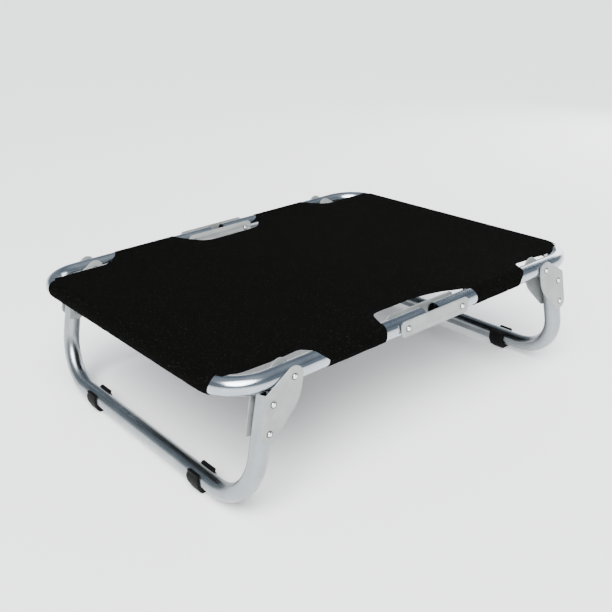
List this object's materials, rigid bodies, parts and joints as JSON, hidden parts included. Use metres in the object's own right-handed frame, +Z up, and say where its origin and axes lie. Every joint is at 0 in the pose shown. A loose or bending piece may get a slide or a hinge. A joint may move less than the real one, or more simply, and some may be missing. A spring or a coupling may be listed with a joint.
{
  "type": "folding raised dog bed",
  "caption": "Raised dog bed: a dark fabric cover stretched on a rounded tube frame that folds in the middle, on folding U-shaped tube legs with clip-on feet.",
  "frame": {"origin": "on the floor, under the centre of the bed", "axes": "+X along the long side, +Y across the bed, +Z up"},
  "size_m": [0.678, 0.5414, 0.2035],
  "materials": {
    "frame_tubing": "polished",
    "leg_tubing": "satin",
    "plate_steel": "satin galvanised",
    "rivet_steel": "bright",
    "foot_plastic": "moulded",
    "cover_fabric": "coated woven polyester"
  },
  "bodies": {
    "left_half": {"frame_tube_left": "frame_tubing", "fabric_panel_left": "cover_fabric", "end_sleeve_left": "cover_fabric", "side_sleeve_front_left": "cover_fabric", "side_sleeve_back_left": "cover_fabric"},
    "hinge_links": {"hinge_plate_outer_front": "plate_steel", "hinge_plate_inner_front": "plate_steel", "hinge_rivets_front": "rivet_steel", "hinge_plate_outer_back": "plate_steel", "hinge_plate_inner_back": "plate_steel", "hinge_rivets_back": "rivet_steel", "fabric_panel_middle": "cover_fabric"},
    "right_half": {"frame_tube_right": "frame_tubing", "fabric_panel_right": "cover_fabric", "end_sleeve_right": "cover_fabric", "side_sleeve_front_right": "cover_fabric", "side_sleeve_back_right": "cover_fabric"},
    "left_leg": {"leg_tube_left": "leg_tubing", "bracket_outer_front_left": "plate_steel", "bracket_inner_front_left": "plate_steel", "pivot_rivet_front_left": "rivet_steel", "leg_rivets_front_left": "rivet_steel", "foot_clip_front_left": "foot_plastic", "bracket_outer_back_left": "plate_steel", "bracket_inner_back_left": "plate_steel", "pivot_rivet_back_left": "rivet_steel", "leg_rivets_back_left": "rivet_steel", "foot_clip_back_left": "foot_plastic"},
    "right_leg": {"leg_tube_right": "leg_tubing", "bracket_outer_front_right": "plate_steel", "bracket_inner_front_right": "plate_steel", "pivot_rivet_front_right": "rivet_steel", "leg_rivets_front_right": "rivet_steel", "foot_clip_front_right": "foot_plastic", "bracket_outer_back_right": "plate_steel", "bracket_inner_back_right": "plate_steel", "pivot_rivet_back_right": "rivet_steel", "leg_rivets_back_right": "rivet_steel", "foot_clip_back_right": "foot_plastic"}
  },
  "joints": [
    {"name": "left_fold", "type": "hinge", "parent": "left_half", "child": "hinge_links", "pos_m": [-0.0525, 0, 0.19], "axis": [0, 1, 0], "range_deg": [0, 85]},
    {"name": "right_fold", "type": "hinge", "parent": "hinge_links", "child": "right_half", "pos_m": [0.0525, 0, 0.19], "axis": [0, 1, 0], "range_deg": [0, 85]},
    {"name": "left_leg_fold", "type": "hinge", "parent": "left_half", "child": "left_leg", "pos_m": [-0.2425, 0, 0.19], "axis": [0, -1, 0], "range_deg": [0, 102.7]},
    {"name": "right_leg_fold", "type": "hinge", "parent": "right_half", "child": "right_leg", "pos_m": [0.2425, 0, 0.19], "axis": [0, 1, 0], "range_deg": [0, 102.7]}
  ],
  "couplings": [
    {"joint": "left_leg_fold", "follows": "left_fold", "ratio": 1.208},
    {"joint": "right_leg_fold", "follows": "right_fold", "ratio": 1.208}
  ]
}
